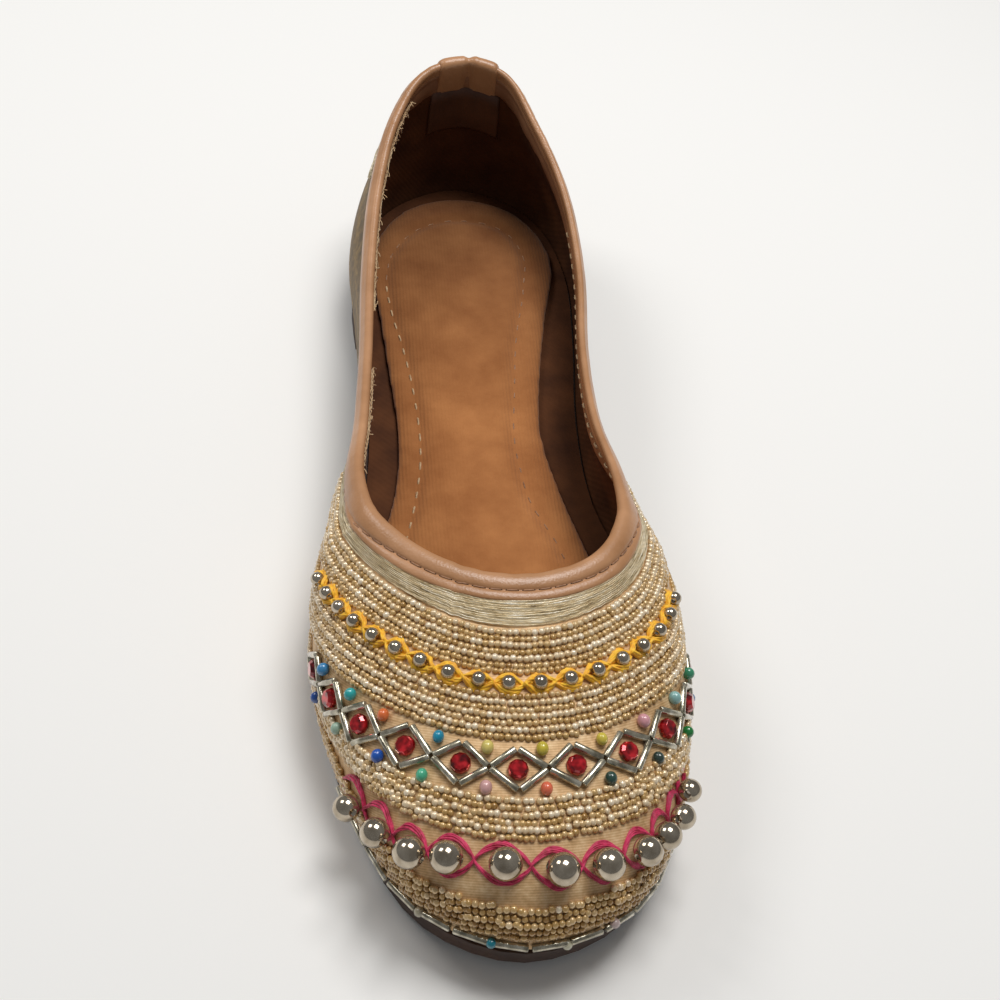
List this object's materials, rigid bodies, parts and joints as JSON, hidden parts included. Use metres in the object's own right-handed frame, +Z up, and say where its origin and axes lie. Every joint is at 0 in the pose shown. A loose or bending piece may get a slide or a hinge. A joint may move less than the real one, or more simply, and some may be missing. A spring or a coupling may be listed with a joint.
{
  "type": "mojari shoe",
  "caption": "Flat slip-on mojari shoe, left foot: hollow fabric upper with leather collar binding, padded footbed, low-heeled leather sole and beadwork over the vamp.",
  "frame": {"origin": "on the floor, under the middle of the whole shoe's box", "axes": "+Y towards the heel, so the toe points along -Y; +X towards the outer side of the foot; +Z up"},
  "size_m": [0.0808, 0.2452, 0.0575],
  "materials": {
    "sole_leather": "dark brown, burnished edge",
    "sock_lining": "dark brown woven lining",
    "suede": "tan imitation suede, stitched",
    "gold_tissue": "gold tissue silk, beaded and embroidered",
    "tan_leather": "satin imitation leather",
    "silver_metal": "warm silver plating",
    "glass_bead": "gold-lined glass seed and bugle beads",
    "thread": "coloured embroidery and sewing thread"
  },
  "bodies": {
    "root": {"outsole": "sole_leather", "insole_board": "sock_lining", "footbed": "suede", "upper": "gold_tissue", "collar_binding": "tan_leather", "heel_tab": "tan_leather", "bead_large_01": "silver_metal", "bead_large_02": "silver_metal", "bead_large_03": "silver_metal", "bead_large_04": "silver_metal", "bead_large_05": "silver_metal", "bead_large_06": "silver_metal", "bead_large_07": "silver_metal", "bead_large_08": "silver_metal", "bead_large_09": "silver_metal", "bead_large_10": "silver_metal", "bead_large_11": "silver_metal"}
  },
  "joints": []
}
